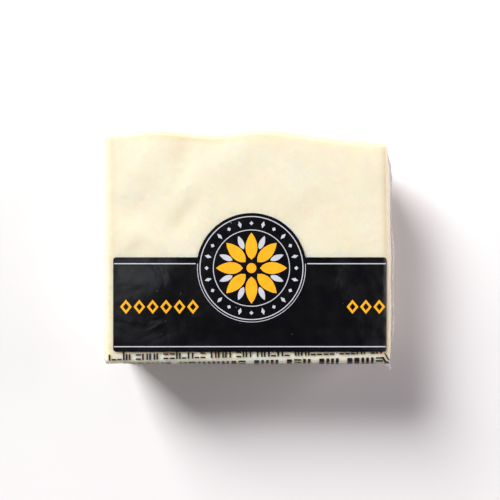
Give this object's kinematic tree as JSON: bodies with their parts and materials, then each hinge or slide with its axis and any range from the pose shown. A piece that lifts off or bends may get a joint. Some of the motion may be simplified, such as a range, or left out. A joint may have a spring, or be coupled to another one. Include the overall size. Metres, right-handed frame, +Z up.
{
  "type": "vacuum-packed halloumi block",
  "caption": "Flat rectangular cheese block drawn tight in clear film, with a folded flap at each end, small corner ears, and a black band label with a round upper bulge.",
  "frame": {"origin": "on the surface that the pack lies on, below the middle of its box", "axes": "+X along the pack's long side, +Y from the front edge near the label to the back, +Z up out of the labelled face"},
  "size_m": [0.1041, 0.0837, 0.031],
  "materials": {
    "cheese_in_film": "pale cream cheese under tight clear film",
    "label_film": "satin black printed film",
    "cheese": "moist pale cream cheese",
    "clear_film": "thin clear wrinkled film",
    "amber_print": "flat amber ink",
    "pale_print": "flat pale grey ink",
    "dark_print": "flat black ink on the clear film"
  },
  "bodies": {
    "root": {"sealed_pack": "cheese_in_film", "front_label": "label_film"}
  },
  "joints": []
}
